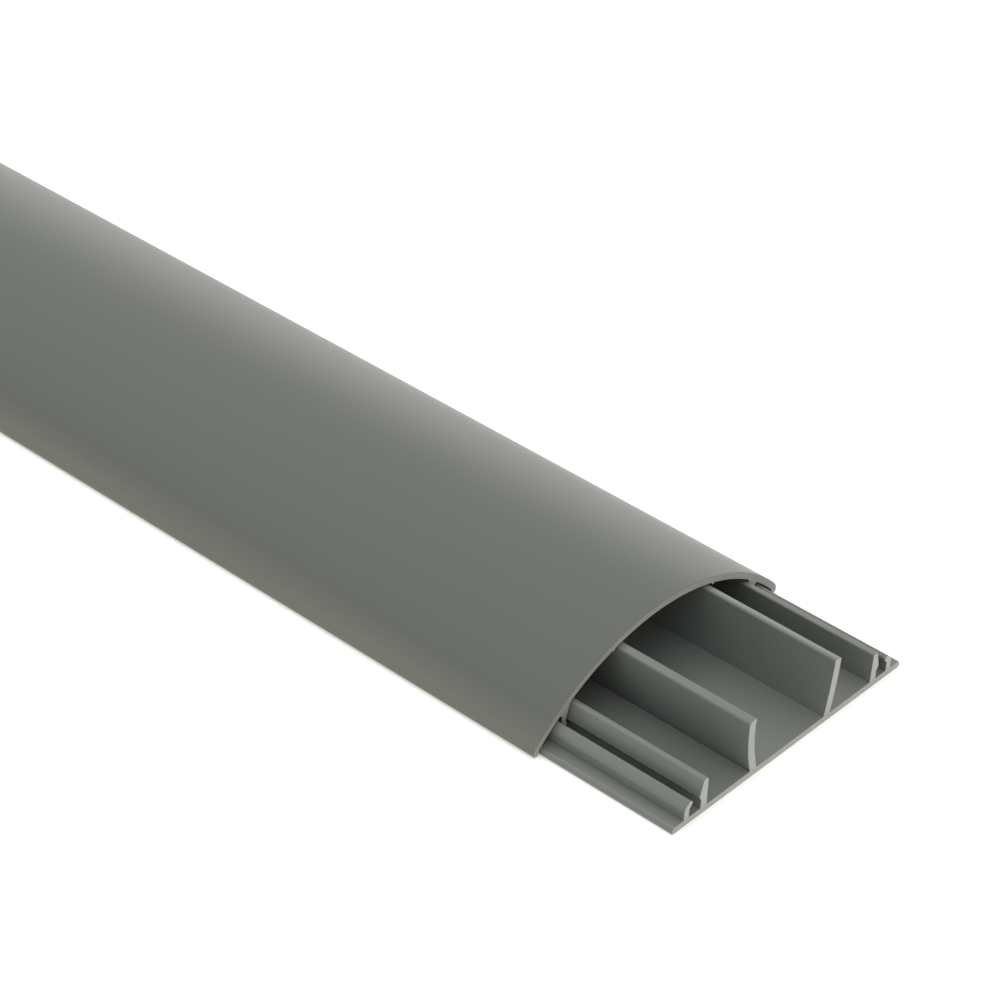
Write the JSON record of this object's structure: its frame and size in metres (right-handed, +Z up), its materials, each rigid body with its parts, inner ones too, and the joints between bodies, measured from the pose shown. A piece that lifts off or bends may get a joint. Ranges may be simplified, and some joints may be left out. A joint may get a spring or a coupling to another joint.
{
  "type": "floor cord cover",
  "caption": "Low domed floor trunking whose cover clips onto a flat base with two tunnel walls, and which carries cords across a floor in three side-by-side compartments.",
  "frame": {"origin": "on the floor, in the middle of the whole object's length and width", "axes": "+X across the trunking, +Y along it away from the end that shows the section, +Z up from the floor"},
  "size_m": [0.075, 2.0326, 0.018],
  "materials": {
    "base_pvc": "satin grey extruded rigid PVC with paler saw-cut ends",
    "cover_pvc": "satin grey extruded rigid PVC with paler saw-cut ends"
  },
  "bodies": {
    "base": {"base_channel": "base_pvc"},
    "cover": {"domed_cover": "cover_pvc"}
  },
  "joints": [
    {"name": "cover_slide", "type": "slide", "parent": "base", "child": "cover", "axis": [0, 1, 0], "range_m": [-0.0325, 0.2675]}
  ]
}
